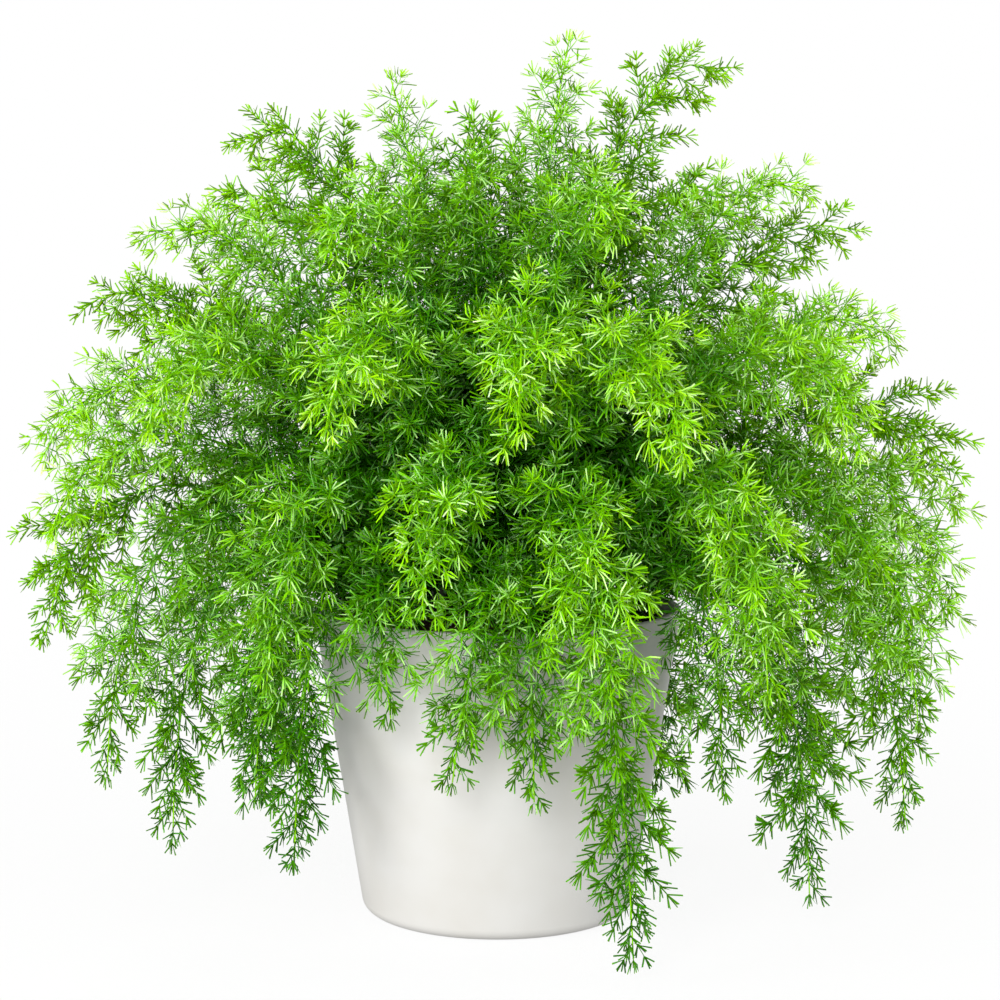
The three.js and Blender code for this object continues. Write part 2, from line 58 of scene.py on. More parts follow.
# One row per frond: the bearing it ends on (degrees from the front, + to the right), how far
# from the centre it leaves the soil, the height it aims for as it rises, the height its arch is
# drawn towards, how far out it ends, the height it ends at, and how far its bearing swings on
# the way out (degrees). Millimetres.
FRONDS = (
    # crown: young upright shoots
    (-66, 14, 330, 500, 78, 566, 0),
    (-150, 20, 340, 490, 32, 550, 0),
    (58, 10, 350, 520, 57, 591, 0),
    (100, 22, 520, 612, 160, 560, -8),
    (172, 18, 420, 540, 100, 528, 0),
    (-10, 20, 440, 545, 84, 480, 10),
    # upper tier
    (-94, 30, 470, 570, 178, 514, 6),
    (-116, 38, 400, 525, 226, 478, 6),
    (-74, 40, 385, 500, 243, 450, -8),
    (122, 30, 410, 522, 190, 484, 0),
    (82, 36, 405, 522, 214, 486, 0),
    (104, 42, 380, 500, 262, 457, 0),
    (152, 36, 400, 520, 205, 468, 0),
    (-160, 34, 410, 520, 200, 474, 0),
    (-42, 32, 430, 535, 160, 440, 0),
    (32, 30, 440, 545, 150, 450, 0),
    # middle tier
    (-98, 52, 350, 455, 290, 408, 0),
    (-83, 58, 330, 428, 304, 308, 0),
    (82, 56, 350, 450, 270, 380, 0),
    (95, 60, 320, 420, 318, 268, 0),
    (-56, 50, 370, 450, 262, 330, 0),
    (-27, 50, 380, 460, 225, 335, 0),
    (3, 50, 385, 465, 215, 330, 0),
    (28, 52, 380, 460, 240, 318, 0),
    (56, 52, 370, 450, 270, 318, 0),
    (118, 52, 360, 445, 290, 350, 0),
    (146, 52, 350, 440, 290, 320, 0),
    (176, 50, 360, 450, 280, 370, 0),
    (-150, 52, 350, 440, 290, 310, 0),
    (-124, 52, 360, 450, 285, 360, 0),
    # lower tier
    (-91, 78, 285, 362, 310, 178, 0),
    (90, 78, 300, 385, 304, 196, 0),
    (76, 80, 290, 366, 284, 134, 0),
    (-79, 84, 280, 350, 264, 93, 0),
    (-46, 72, 305, 365, 200, 172, 0),
    (-14, 72, 310, 370, 190, 226, 0),
    (20, 72, 305, 360, 205, 166, 0),
    (42, 74, 310, 380, 245, 172, 0),
    (112, 76, 300, 380, 295, 165, 0),
    (142, 76, 300, 380, 280, 190, 0),
    (170, 76, 300, 380, 290, 150, 0),
    (-162, 76, 300, 380, 275, 180, 0),
    (-130, 76, 300, 380, 292, 150, 0),
    # skirt: the lowest fronds, over the rim and down
    (79, 100, 262, 306, 276, 66, 0),
    (67, 100, 262, 310, 221, 23, 0),
    (50, 102, 255, 300, 186, 102, 0),
    (24, 98, 265, 325, 205, 9, 6),
    (8, 104, 250, 290, 165, 101, -2),
    (-10, 102, 250, 290, 164, 113, -10),
    (-24, 104, 250, 285, 160, 150, 12),
    (-53, 102, 255, 300, 164, 47, 0),
    (-64, 104, 250, 290, 176, 85, 0),
    (-76, 102, 260, 310, 222, 52, 0),
    (108, 102, 258, 310, 240, 60, 0),
    (146, 102, 258, 300, 215, 38, 0),
    (-172, 102, 258, 300, 225, 70, 0),
    (-128, 102, 258, 300, 225, 42, 0),
    # a stray between the left tiers
    (-72, 66, 312, 392, 302, 262, 0),
)
STEM_BASE = 200
STEM_SWAY = 4
STEM_SHADE = 0.5
ROOT_SHADE = 0.75
GROWN_SIZES = (0.8, 1.1)
LEAN_SPREAD = 8
NOISE_REACH = (0.3, 0.7)


# ---- Finishes ----


def linear(hex_colour: str) -> tuple[float, ...]:
    """Turns an sRGB hex colour into Blender's linear values.

    Args:
        hex_colour: Six hex digits, such as "8fb73a".

    Returns:
        Red, green, blue and an alpha of 1.
    """
    channels = [int(hex_colour[place : place + 2], 16) / 255 for place in (0, 2, 4)]
    values = [c / 12.92 if c <= 0.04045 else ((c + 0.055) / 1.055) ** 2.4 for c in channels]
    return (values[0], values[1], values[2], 1.0)


def add_node(
    tree: NodeTree, kind: str, settings: dict | None = None, links: dict | None = None
) -> Node:
    """Adds a node with its settings and links.

    Args:
        tree: The node tree.
        kind: The node's type name.
        settings: Values by socket name or number, or by property name after a dot.
        links: Output sockets by the name or number of the input that they feed.

    Returns:
        The new node.
    """
    node = tree.nodes.new(kind)
    for name, value in (settings or {}).items():
        if isinstance(name, str) and name.startswith("."):
            setattr(node, name[1:], value)
        else:
            node.inputs[name].default_value = value
    for name, socket in (links or {}).items():
        tree.links.new(socket, node.inputs[name])
    return node


def new_tree(name: str) -> tuple[Material, NodeTree]:
    """Starts a material with an empty node tree.

    Args:
        name: The finish's plain name.

    Returns:
        The material and its tree.
    """
    material = bpy.data.materials.new(name)
    material.use_nodes = True
    material.node_tree.nodes.clear()
    return material, material.node_tree


def close_tree(tree: NodeTree, settings: dict, links: dict) -> None:
    """Adds the surface shader, with its settings and links, and the material's output."""
    shader = add_node(tree, "ShaderNodeBsdfPrincipled", settings, links)
    add_node(tree, "ShaderNodeOutputMaterial", links={"Surface": shader.outputs[0]})


def ramp(tree: NodeTree, factor: NodeSocket, stops: list[tuple[float, str]]) -> NodeSocket:
    """Spreads colours over a factor.

    Args:
        tree: The node tree.
        factor: The socket that picks the colour, from 0 to 1.
        stops: Place and hex colour of each stop.

    Returns:
        The colour socket.
    """
    node = add_node(tree, "ShaderNodeValToRGB", links={"Fac": factor})
    elements = node.color_ramp.elements
    while len(elements) < len(stops):
        elements.new(0.5)
    for element, (place, colour) in zip(elements, stops):
        element.position = place
        element.color = linear(colour)
    return node.outputs["Color"]


def stretch(tree: NodeTree, value: NodeSocket, reach: Pair, result: Pair) -> NodeSocket:
    """Returns a value mapped from one range, lowest and highest, to another."""
    settings = dict(zip(("From Min", "From Max", "To Min", "To Max"), (*reach, *result)))
    return add_node(tree, "ShaderNodeMapRange", settings, {"Value": value}).outputs["Result"]


def noise(tree: NodeTree, grain: float, detail: float, roughness: float = 0.5) -> NodeSocket:
    """Adds a noise that is fixed to the object.

    Args:
        tree: The node tree.
        grain: The size of its grain, in millimetres.
        detail: How many finer layers it has.
        roughness: How strong the finer layers are.

    Returns:
        The noise's socket.
    """
    place = add_node(tree, "ShaderNodeTexCoord").outputs["Object"]
    settings = {"Scale": 1 / (grain * MM), "Detail": detail, "Roughness": roughness}
    return add_node(tree, "ShaderNodeTexNoise", settings, {"Vector": place}).outputs["Fac"]


def bump(tree: NodeTree, height: NodeSocket, strength: float, depth: float) -> NodeSocket:
    """Returns the normal of a surface roughened by a value, to a depth in millimetres."""
    settings = {"Strength": strength, "Distance": depth * MM}
    return add_node(tree, "ShaderNodeBump", settings, {"Height": height}).outputs["Normal"]


def attribute(tree: NodeTree, name: str) -> NodeSocket:
    """Returns the socket of a value that the mesh keeps at each vertex."""
    return add_node(tree, "ShaderNodeAttribute", {".attribute_name": name}).outputs["Fac"]


@dataclass(frozen=True)
class GreenNeedles:
    """Living cladodes: a waxy skin over soft green tissue, with a painted whitish highlight on
    some.
    """

    name: str = "waxy_green_needles"
    inside: str = "0a2e00"
    old: str = "347c00"
    grown: str = "68ae00"
    young: str = "8aca06"
    painted_highlight: str = "e4f6c4"
    highlight_from: float = 0.64
    brightness: Pair = (0.33, 2.15)
    saturation: float = 1.08
    roughness: float = 0.34

    def material(self) -> Material:
        """Makes the finish: painted shade inside the plant, painted highlights, a little different
        on each needle.

        Returns:
            The material.
        """
        material, tree = new_tree(self.name)
        youth_and_light, shade = attribute(tree, "youth_and_light"), attribute(tree, "shade")
        # Ramp from the near-black inside colour to young green: painted shade deep in the plant and
        # low down, and paler young growth.
        stops = [(0.0, self.inside), (0.35, self.old), (0.7, self.grown), (1.0, self.young)]
        varied = add_node(
            tree, "ShaderNodeHueSaturation", {"Saturation": self.saturation},
            {"Color": ramp(tree, youth_and_light, stops),
             "Value": stretch(tree, shade, (0, 1), self.brightness)},
        )
        # Painted highlight: the palest needles are mixed towards a whitish tint, more where they
        # are lit.
        pale = stretch(tree, shade, (self.highlight_from, 1), (0, 1))
        lit = add_node(tree, "ShaderNodeMath", {".operation": "MULTIPLY"}, {0: pale, 1: youth_and_light})
        highlighted = add_node(
            tree, "ShaderNodeMix", {".data_type": "RGBA", 7: linear(self.painted_highlight)},
            {0: lit.outputs["Value"], 6: varied.outputs["Color"]},
        )
        settings = {
            "Roughness": self.roughness, "IOR": 1.4, "Specular IOR Level": 0.15,
            "Subsurface Weight": 0.3, "Subsurface Radius": (1, 1, 0.1), "Subsurface Scale": MM,
        }
        close_tree(tree, settings, {"Base Color": highlighted.outputs[2]})
        return material


@dataclass(frozen=True)
class GreenStem:
    """Living stem: smooth green bark, yellower than needles, paler young, painted shade deep in the
    plant.
    """

    name: str = "smooth_green_stem"
    old: str = "64901c"
    young: str = "a6cc40"
    rib: float = 4
    brightness: Pair = (0.82, 1.12)
    roughness: float = 0.42

    def material(self) -> Material:
        """Makes the finish, with faint ribs of colour a few millimetres long.

        Returns:
            The material.
        """
        material, tree = new_tree(self.name)
        # The ramp reads age together with painted shade: twigs deep in the plant come out darker.
        colour = ramp(tree, attribute(tree, "youth_and_light"), [(0.0, self.old), (1.0, self.young)])
        light = stretch(tree, noise(tree, self.rib, 2.0), NOISE_REACH, self.brightness)
        varied = add_node(tree, "ShaderNodeHueSaturation", links={"Color": colour, "Value": light})
        settings = {"Roughness": self.roughness, "IOR": 1.46}
        close_tree(tree, settings, {"Base Color": varied.outputs["Color"]})
        return material


@dataclass(frozen=True)
class SatinGlaze:
    """White stoneware under a satin glaze: even and soft, with a faint warm cloud in it."""

    name: str = "satin_white_glaze"
    pale: str = "c6c5c2"
    warm: str = "c1bfba"
    cloud: float = 60
    skin: float = 2
    roughness: Pair = (0.37, 0.48)

    def material(self) -> Material:
        """Makes the finish: a broad cloud of colour, and a fine orange-peel skin.

        Returns:
            The material.
        """
        material, tree = new_tree(self.name)
        cloud = noise(tree, self.cloud, 3.0, 0.55)
        links = {
            "Base Color": ramp(tree, cloud, [(0.35, self.warm), (0.65, self.pale)]),
            "Roughness": stretch(tree, cloud, NOISE_REACH, self.roughness),
            "Normal": bump(tree, noise(tree, self.skin, 2.0), strength=0.12, depth=0.15),
        }
        close_tree(tree, {"IOR": 1.5}, links)
        return material


@dataclass(frozen=True)
class PottingMix:
    """Moist potting mix: dark crumbs of peat with paler fibre, dull all over."""

    name: str = "moist_potting_mix"
    dark: str = "1d130c"
    brown: str = "3d2918"
    fibre: str = "6b4c30"
    crumb: float = 5
    roughness: float = 0.92

    def material(self) -> Material:
        """Makes the finish: crumbs of about 5 mm, broken up by finer ones.

        Returns:
            The material.
        """
        material, tree = new_tree(self.name)
        crumbs = noise(tree, self.crumb, 6.0, 0.7)
        stops = [(0.36, self.dark), (0.55, self.brown), (0.72, self.fibre)]
        links = {
            "Base Color": ramp(tree, crumbs, stops),
            "Normal": bump(tree, crumbs, strength=0.9, depth=1.5),
        }
        close_tree(tree, {"Roughness": self.roughness, "IOR": 1.35}, links)
        return material


# ---- Modelling helpers ----


def start_clean() -> None:
    """Deselects every object."""
    bpy.ops.object.select_all(action="DESELECT")


def pick(obj: Object) -> None:
    """Selects one object alone and makes it the active one.

    Args:
        obj: The object.
    """
    start_clean()
    bpy.context.view_layer.objects.active = obj
    obj.select_set(True)


def vertex_places(obj: Object) -> Array:
    """Reads a mesh's vertices.

    Args:
        obj: The object, in object mode.

    Returns:
        A row of x, y and z for each vertex.
    """
    places = np.zeros(len(obj.data.vertices) * 3, np.float32)
    obj.data.vertices.foreach_get("co", places)
    return places.reshape(-1, 3).astype(float)


def edit(obj: Object, chosen: Array) -> None:
    """Opens an object in edit mode with some of its vertices selected.

    Args:
        obj: The object, in object mode.
        chosen: True for each vertex to select.
    """
    mesh = obj.data
    mesh.polygons.foreach_set("select", np.zeros(len(mesh.polygons), bool))
    mesh.edges.foreach_set("select", np.zeros(len(mesh.edges), bool))
    mesh.vertices.foreach_set("select", chosen)
    mesh.update()
    pick(obj)
    bpy.ops.object.mode_set(mode="EDIT")
    bpy.ops.mesh.select_mode(type="VERT")


def leave_edit() -> None:
    """Returns to object mode."""
    bpy.ops.object.mode_set(mode="OBJECT")


def shift(obj: Object, chosen: Array, offset: Triple) -> None:
    """Moves some vertices of a mesh, in edit mode.

    Args:
        obj: The object, in object mode.
        chosen: True for each vertex to move.
        offset: How far they go.
    """
    edit(obj, chosen)
    bpy.ops.transform.translate(value=offset)
    leave_edit()


def settle(obj: Object, name: str) -> Object:
    """Puts a piece's place into its mesh and names it.

    Args:
        obj: The finished object.
        name: Its plain name.

    Returns:
        The same object.
    """
    pick(obj)
    bpy.ops.object.transform_apply(location=True, rotation=True, scale=True)
    obj.name = name
    obj.data.name = name
    obj.select_set(False)
    return obj


def add_cylinder(name: str, sides: int, radius: float, low: float, high: float) -> Object:
    """Adds an upright cylinder on the axis.

    Args:
        name: Its name.
        sides: How many sides it has.
        radius: Its radius.
        low: The height of its foot.
        high: The height of its top.

    Returns:
        The new object.
    """
    start_clean()
    bpy.ops.mesh.primitive_cylinder_add(
        vertices=sides, radius=radius, depth=high - low, location=(0, 0, (high + low) / 2)
    )
    return settle(bpy.context.object, name)


def smooth(obj: Object, degrees: float) -> None:
    """Shades an object smooth, up to edges of an angle in degrees."""
    pick(obj)
    bpy.ops.object.shade_smooth_by_angle(angle=math.radians(degrees))


def dress(obj: Object, slot: str, node: str, *materials: Material) -> None:
    """Gives a piece its finishes and its body, and hides the CAD node that it replaces.

    Args:
        obj: The piece.
        slot: The record's material slot; not used.
        node: The CAD node that it replaces.
        materials: The finishes, in the order of the mesh's material numbers.
    """
    obj.data.materials.clear()
    for material in materials:
        obj.data.materials.append(material)
    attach(obj, BODY)
    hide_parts(node)
    log.info("%s: %d faces", obj.name, len(obj.data.polygons))


# ---- Pot ----


@dataclass
class Pot:
    """The tapered pot, turned smooth, with drain holes in its floor. Millimetres."""

    height: float = 208
    rim_radius: float = 125
    foot_radius: float = 91.5
    wall: float = 6
    floor: float = 9
    foot_round: float = 8
    rim_round: float = 2
    ring_tolerance: float = 0.05
    sides: int = 160
    drain_count: int = 4
    drain_radius: float = 6
    drain_circle: float = 48

    def outer_radius(self, height: float | Array) -> float | Array:
        """Returns the outside's radius at a height."""
        return self.foot_radius + (self.rim_radius - self.foot_radius) * height / self.height

    def inner_radius(self, height: float | Array) -> float | Array:
        """Returns the inside's radius at a height."""
        return self.outer_radius(height) - self.wall

    def round_ring(self, obj: Object, radius: float, height: float, size: float) -> None:
        """Rounds the edge along one ring.

        Args:
            obj: The pot.
            radius: The ring's radius.
            height: The ring's height.
            size: The width of the rounding.
        """
        places = vertex_places(obj) / MM
        off_radius = abs(np.hypot(places[:, 0], places[:, 1]) - radius)
        off_height = abs(places[:, 2] - height)
        edit(obj, (off_radius < self.ring_tolerance) & (off_height < self.ring_tolerance))
        bpy.ops.mesh.select_mode(type="EDGE")
        bpy.ops.mesh.bevel(offset=size * MM, segments=6, profile=0.5, affect="EDGES")
        leave_edit()

    def build(self) -> Object:
        """Models the pot: a cylinder flared, hollowed, rounded at its edges and drilled.

        Returns:
            The piece.
        """
        pot = add_cylinder("pot_glazed", self.sides, self.foot_radius * MM, 0, self.height * MM)
        edit(pot, vertex_places(pot)[:, 2] > self.height * MM / 2)
        flare = self.rim_radius / self.foot_radius
        bpy.ops.transform.resize(value=(flare, flare, 1))
        bpy.ops.mesh.select_mode(type="FACE")
        bpy.ops.mesh.inset(thickness=self.wall * MM)
        bpy.ops.mesh.extrude_region_move(
            TRANSFORM_OT_translate={"value": (0, 0, (self.floor - self.height) * MM)}
        )
        narrow = self.inner_radius(self.floor) / self.inner_radius(self.height)
        bpy.ops.transform.resize(value=(narrow, narrow, 1))
        leave_edit()
        self.round_ring(pot, self.foot_radius, 0, self.foot_round)
        self.round_ring(pot, self.rim_radius, self.height, self.rim_round)
        self.round_ring(pot, self.inner_radius(self.height), self.height, self.rim_round)
        self.drill(pot)
        smooth(pot, degrees=40)
        return pot

    def drill(self, pot: Object) -> None:
        """Cuts the drain holes through the floor.

        Args:
            pot: The pot.
        """
        reach = 1.5 * self.floor * MM
        for index in range(self.drain_count):
            angle = (index + 0.5) / self.drain_count * 2 * math.pi
            drill = add_cylinder("drill", 32, self.drain_radius * MM, -reach, reach)
            place = Vector((math.cos(angle), math.sin(angle), 0)) * self.drain_circle
            drill.location = place * MM
            cut = pot.modifiers.new("drain", "BOOLEAN")
            cut.operation = "DIFFERENCE"
            cut.solver = "EXACT"
            cut.object = drill
            pick(pot)
            bpy.ops.object.modifier_apply(modifier=cut.name)
            bpy.data.objects.remove(drill)


# ---- Soil ----


@dataclass
class Soil:
    """The potting mix: a lumpy top with bark chips lying in it. Millimetres."""

    pot: Pot
    level: float = 196.5
    lump: float = 1.5
    lump_waves: Triple = (11, 13, 8)
    slant_share: float = 0.6
    crumb_waves: Pair = (1.9, 2.3)
    crumb_swings: Pair = (3, 2)
    crumb_drifts: Pair = (5.3, 4.1)
    crumb_share: float = 0.45
    seat_gap: float = 0.3
    ring_step: float = 2.6
    sides: int = 128
    chip_count: int = 150
    chip_size: float = 7
    chip_sizes: Pair = (0.5, 1.5)
    chip_margin: float = 8
    chip_proud: float = 0.4
    chip_tilt: float = 0.3
    seed: int = 11

    def height(self, x: Array, y: Array) -> Array:
        """Adds up the broad lumps and the small crumbs of the top.

        Args:
            x: Places to the right of the middle.
            y: Places behind the middle.

        Returns:
            The heights there over the ground.
        """
        across, along, slant = self.lump_waves
        broad = np.sin(x / across) * np.cos(y / along) + self.slant_share * np.sin((x - y) / slant)
        crumb_x = x / self.crumb_waves[0] + self.crumb_swings[0] * np.sin(y / self.crumb_drifts[0])
        crumb_y = y / self.crumb_waves[1] + self.crumb_swings[1] * np.sin(x / self.crumb_drifts[1])
        fine = self.crumb_share * np.sin(crumb_x) * np.cos(crumb_y)
        return self.level + self.lump * (broad + fine)

    def build(self) -> Object:
        """Models the mix: a plug that fits the pot, its top inset in rings and raised.

        Returns:
            The piece.
        """
        rng = np.random.default_rng(self.seed)
        floor = self.pot.floor + self.seat_gap
        edge = self.pot.inner_radius(self.level) - self.seat_gap - self.lump
        top = self.level * MM
        soil = add_cylinder("soil_potting_mix", self.sides, edge * MM, floor * MM, top)
        foot = vertex_places(soil)[:, 2] < top / 2
        edit(soil, foot)
        narrow = (self.pot.inner_radius(floor) - 2 * self.seat_gap) / edge
        bpy.ops.transform.resize(value=(narrow, narrow, 1))
        leave_edit()
        edit(soil, ~foot)
        bpy.ops.mesh.select_mode(type="FACE")
        for _ in range(int(edge / self.ring_step) - 1):
            bpy.ops.mesh.inset(thickness=self.ring_step * MM)
        bpy.ops.mesh.poke()
        leave_edit()
        places = vertex_places(soil)
        lumpy = places[:, 2] > top - MM
        places[lumpy, 2] = self.height(places[lumpy, 0] / MM, places[lumpy, 1] / MM) * MM
        soil.data.vertices.foreach_set("co", places.astype(np.float32).ravel())
        soil.data.update()
        self.scatter_chips(soil, rng, edge)
        smooth(soil, degrees=50)
        return soil

    def bark_chip(self) -> Object:
        """Models one chip: a cube cut down to a flat splinter with broken ends.

        Returns:
            The chip, one unit long.
        """
        start_clean()
        bpy.ops.mesh.primitive_cube_add(size=1)
        chip = bpy.context.object
        edit(chip, np.ones(len(chip.data.vertices), bool))
        bpy.ops.transform.resize(value=(1.0, 0.5, 0.24))
        bpy.ops.mesh.subdivide(number_cuts=1, fractal=0.12, seed=4)
        leave_edit()
        return chip

    def scatter_chips(self, soil: Object, rng: Rng, edge: float) -> None:
        """Beds copies of the chip in the top and joins them to it.

        Args:
            soil: The mix.
            rng: The seeded source of places and turns.
            edge: The top's radius.
        """
        chip = self.bark_chip()
        copies = []
        for _ in range(self.chip_count):
            reach = (edge - self.chip_margin) * math.sqrt(rng.uniform(0, 1))
            angle = rng.uniform(0, 2 * math.pi)
            x, y = reach * math.cos(angle), reach * math.sin(angle)
            copy = chip.copy()
            copy.data = chip.data.copy()
            copy.location = Vector((x, y, float(self.height(x, y)) + self.chip_proud)) * MM
            copy.rotation_euler = (
                rng.normal(0, self.chip_tilt), rng.normal(0, self.chip_tilt),
                rng.uniform(0, RANDOM_TURN),
            )
            copy.scale = (self.chip_size * rng.uniform(*self.chip_sizes) * MM,) * 3
            bpy.context.scene.collection.objects.link(copy)
            copies.append(copy)
        bpy.data.objects.remove(chip)
        pick(soil)
        for copy in copies:
            copy.select_set(True)
        bpy.ops.object.join()


# ---- Foliage ----


class Finish(Enum):
    """Which of a frond's two finishes a triangle takes."""

    NEEDLE = 0
    STEM = 1


class Stand(Enum):
    """Where on the plant a sprig stands."""

    OUTER = "outer"
    REAR = "rear"
    HANGING = "hanging"
    INNER = "inner"


@dataclass
class Growth:
    """Triangles gathered for one piece, with what its finishes read at every point."""

    parts: list[tuple[Array, ...]] = field(default_factory=list)
    count: int = 0

    def add(
        self, points: Array, faces: Array, finish: Array | int,
        shade: Array | float, youth_and_light: Array | float,
    ) -> None:
        """Adds a shape.

        Args:
            points: Its vertices.
            faces: Its triangles.
            finish: Material number, one for all or one for each triangle.
            shade: How pale it is, from 0 to 1, one for all or one for each vertex.
            youth_and_light: How young it is and, once laid on a frond, how lit by painted light,
                from 0 to 1, one for all or one for each vertex.
        """
        finish = np.broadcast_to(finish, len(faces))
        shade, youth_and_light = (np.broadcast_to(value, len(points)) for value in (shade, youth_and_light))
        self.parts.append((points, faces + self.count, finish, shade, youth_and_light))
        self.count += len(points)

    def gathered(self) -> tuple[Array, ...]:
        """Returns points, faces, finish, shade and youth as one array each."""
        return tuple(np.concatenate(part) for part in zip(*self.parts))

    def piece(self, name: str) -> Object:
        """Makes the gathered triangles one piece: round stems, needles with crisp edges.

        Args:
            name: The piece's name.

        Returns:
            The new object, at the origin.
        """
        points, faces, finish, shade, youth_and_light = self.gathered()
        mesh = bpy.data.meshes.new(name)
        mesh.vertices.add(len(points))
        mesh.vertices.foreach_set("co", points.astype(np.float32).ravel())
        mesh.loops.add(faces.size)
        mesh.loops.foreach_set("vertex_index", faces.astype(np.int32).ravel())
        mesh.polygons.add(len(faces))
        mesh.polygons.foreach_set("loop_start", np.arange(0, faces.size, 3, dtype=np.int32))
        mesh.polygons.foreach_set("material_index", finish.astype(np.int32))
        for label, values in (("shade", shade), ("youth_and_light", youth_and_light)):
            kept = mesh.attributes.new(label, "FLOAT", "POINT")
            kept.data.foreach_set("value", values.astype(np.float32))
        mesh.update(calc_edges=True)
        mesh.validate()
        mesh.polygons.foreach_set("use_smooth", finish == Finish.STEM.value)
        obj = bpy.data.objects.new(name, mesh)
        bpy.context.scene.collection.objects.link(obj)
        return obj


@dataclass
class Shape:
    """A small closed shape that is copied many times: one unit long up +Z, root at 0."""

    points: Array
    faces: Array

    @classmethod
    def of(cls, obj: Object) -> "Shape":
        """Takes a modelled object's mesh and removes the object.

        Args:
            obj: The object.

        Returns:
            The mesh as a shape.
        """
        obj.data.calc_loop_triangles()
        corners = np.zeros(len(obj.data.loop_triangles) * 3, np.int32)
        obj.data.loop_triangles.foreach_get("vertices", corners)
        shape = cls(vertex_places(obj), corners.reshape(-1, 3))
        bpy.data.objects.remove(obj)
        return shape

    def drawn_out(self, length: float) -> Array:
        """Returns its points at a length, as wide as before."""
        return self.points * np.array([1.0, 1.0, length])

    def shade(self, level: float) -> Array:
        """Returns how pale its points are: a level at its tip, less at its root."""
        return level * (ROOT_SHADE + (1 - ROOT_SHADE) * self.points[:, 2])


def model_straight_needle(root_width: float, tip_width: float) -> Shape:
    """Models a straight needle: a wedge whose root and blunt tip are turned a quarter apart.

    So it looks as slim from every side.

    Args:
        root_width: Its width at the root, in millimetres.
        tip_width: Its width at the tip, in millimetres.

    Returns:
        The needle, one unit long, with its root at 0.
    """
    corner = root_width / math.sqrt(3)
    start_clean()
    bpy.ops.mesh.primitive_cone_add(
        vertices=3, radius1=corner, radius2=0.0, depth=1, location=(0, 0, 0.5)
    )
    needle = settle(bpy.context.object, "straight_needle")
    places = vertex_places(needle)
    tip = places[:, 2] > 0.5
    lifted = (places[:, 1] > 0.9 * corner) & ~tip
    shift(needle, lifted, (0, 0.5 * tip_width - corner, 1))
    shift(needle, tip, (0, -0.5 * tip_width, 0))
    shift(needle, ~tip & ~lifted, (0, 0.5 * corner, 0))
    return Shape.of(needle)


def blunt_tip(needle: Object, width: float) -> None:
    """Merges two of the three corners at a needle's tip, so that it ends in an edge.

    Args:
        needle: The needle, one unit long.
        width: Its width, in millimetres.
    """
    places = vertex_places(needle)
    edit(needle, (places[:, 2] > 0.9) & (places[:, 1] > -0.1 * width))
    bpy.ops.mesh.merge(type="CENTER")
    leave_edit()


def model_blunt_needle(width: float) -> Shape:
    """Models a straight needle that keeps its width: three-sided at the root, blunt at the tip.

    Args:
        width: Its width, in millimetres.

    Returns:
        The needle, one unit long, with its root at 0.
    """
    needle = add_cylinder("blunt_needle", 3, width / math.sqrt(3), 0, 1)
    blunt_tip(needle, width)
    return Shape.of(needle)


def model_bowed_needle(width: float, bow: float) -> Shape:
    """Models a bowed needle: fine at the root, three-sided in the middle, blunt at the tip.

    Args:
        width: Its width, in millimetres.
        bow: How far its middle lies off the straight line, in millimetres.

    Returns:
        The needle, one unit long, with its root at 0, bowed towards -X.
    """
    middle = 0.42
    start_clean()
    bpy.ops.mesh.primitive_cone_add(
        vertices=3, radius1=width / math.sqrt(3), radius2=0.0, depth=middle,
        location=(-bow, 0, middle / 2), rotation=(math.pi, 0, 0),
    )
    needle = settle(bpy.context.object, "bowed_needle")
    upper = vertex_places(needle)[:, 2] > 0.5 * middle
    shift(needle, ~upper, (bow, 0, 0))
    edit(needle, upper)
    bpy.ops.mesh.select_mode(type="FACE")
    bpy.ops.mesh.extrude_region_move(TRANSFORM_OT_translate={"value": (bow, 0, 1 - middle)})
    leave_edit()
    blunt_tip(needle, width)
    return Shape.of(needle)


def model_rod(sides: int, steps: int) -> Shape:
    """Models a straight rod in short lengths, by extruding one end face.

    Args:
        sides: How many sides it has.
        steps: How many lengths it has.

    Returns:
        The rod, one unit long and one in radius.
    """
    rod = add_cylinder("rod", sides, 1, 0, 1 / steps)
    edit(rod, vertex_places(rod)[:, 2] > 0.5 / steps)
    bpy.ops.mesh.select_mode(type="FACE")
    for _ in range(steps - 1):
        bpy.ops.mesh.extrude_region_move(TRANSFORM_OT_translate={"value": (0, 0, 1 / steps)})
    leave_edit()
    return Shape.of(rod)


def leaning(angle: float) -> Array:
    """Returns the direction at an angle from +Z towards +X, in radians."""
    return np.array([math.sin(angle), 0, math.cos(angle)])


def turned(way: Array, roll: float, side: Array | None = None) -> Array:
    """Makes the turn that lays +Z along a direction.

    Args:
        way: The direction.
        roll: The turn about it, in radians.
        side: Where +X should point before the roll, as near as it can.

    Returns:
        A 3 by 3 matrix whose columns are the new axes.
    """
    along = way / np.linalg.norm(way)
    if side is None:
        side = np.array([1.0, 0, 0]) if abs(along[0]) < 0.9 else np.array([0, 1.0, 0])
    across = side - along * side.dot(along)
    across = across / np.linalg.norm(across)
    other = np.cross(along, across)
    spun = across * math.cos(roll) + other * math.sin(roll)
    return np.column_stack([spun, np.cross(along, spun), along])


def ring(rng: Rng, count: int, turn: float, jitter: float, lean: float) -> Iterator[Triple]:
    """Draws the needles of one whorl.

    Args:
        rng: The seeded source of turns and sizes.
        count: How many needles it has.
        turn: Its turn about the twig, in radians.
        jitter: How far single needles are turned out of their places, in radians.
        lean: Their mean angle from the twig, in degrees.

    Returns:
        Each needle's turn and angle, in radians, and its size as a share of a full one.
    """
    for place in range(count):
        roll = turn + place / count * 2 * math.pi + rng.normal(0, jitter)
        yield roll, math.radians(rng.normal(lean, LEAN_SPREAD)), rng.uniform(*GROWN_SIZES)


@dataclass(frozen=True)
class Habit:
    """How the needles of a kind of sprig grow: the first shape stands near its root.

    Millimetres. The lean is in degrees.
    """

    needles: tuple[Shape, ...]
    needle_length: float
    whorl_step: float
    whorl_needles: tuple[int, int]
    lean: float = 58
    palest: float = 1


